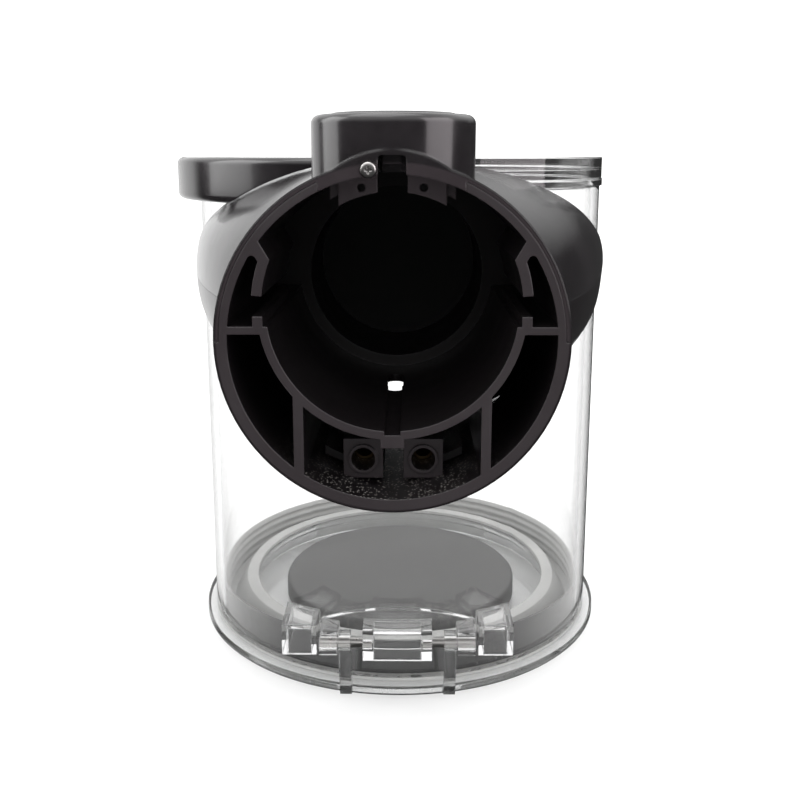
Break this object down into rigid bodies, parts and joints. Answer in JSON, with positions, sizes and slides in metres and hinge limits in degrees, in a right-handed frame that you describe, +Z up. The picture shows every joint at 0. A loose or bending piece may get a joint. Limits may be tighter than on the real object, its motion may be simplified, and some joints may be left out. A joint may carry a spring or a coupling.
{
  "type": "cyclone dust bin",
  "caption": "Clear round dust bin with hinged bottom lid, open top and a black side socket for a vacuum wand, with release button and one-way inlet flap.",
  "frame": {"origin": "centre of the closed lid's underside, on the bin's axis", "axes": "+Z up the bin's axis, -Y out of the wand socket, +X to the right seen from the socket"},
  "size_m": [0.1067, 0.1617, 0.1247],
  "materials": {
    "clear_plastic": "clear gloss moulded plastic",
    "gloss_black": "gloss black moulded plastic",
    "socket_black": "satin black moulded plastic",
    "seal_grey": "soft mid-grey rubber",
    "flap_black": "soft black rubber",
    "steel": "plain bright steel",
    "contact_brass": "plain brass"
  },
  "bodies": {
    "housing": {"bin_shell": "clear_plastic", "nose_cover": "gloss_black", "button_bezel": "gloss_black", "side_collar": "gloss_black", "nose_frame": "socket_black", "contact_block_left": "socket_black", "contact_block_right": "socket_black", "foot_seal_band": "seal_grey", "inlet_gasket": "flap_black", "lid_hinge_pin": "steel", "flap_pin": "steel", "button_spring": "steel", "tower_screw": "steel", "cover_screws": "steel", "contact_socket_left": "contact_brass", "contact_socket_right": "contact_brass"},
    "lid": {"bottom_lid": "clear_plastic", "lid_seal_ring": "seal_grey", "centre_seal_pad": "seal_grey"},
    "button": {"release_button": "gloss_black"},
    "flap": {"inlet_flap": "flap_black"}
  },
  "joints": [
    {"name": "lid_hinge", "type": "hinge", "parent": "housing", "child": "lid", "pos_m": [0, -0.0535, 0.014], "axis": [-1, 0, 0], "range_deg": [0, 100]},
    {"name": "button_press", "type": "slide", "parent": "housing", "child": "button", "axis": [0, 0, -1], "range_m": [0, 0.0024], "stiffness_N_per_m": 600, "springref_m": -0.002, "deforming": ["button_spring"]},
    {"name": "flap_hinge", "type": "hinge", "parent": "housing", "child": "flap", "pos_m": [0, -0.0376, 0.1135], "axis": [1, 0, 0], "range_deg": [0, 70]}
  ]
}
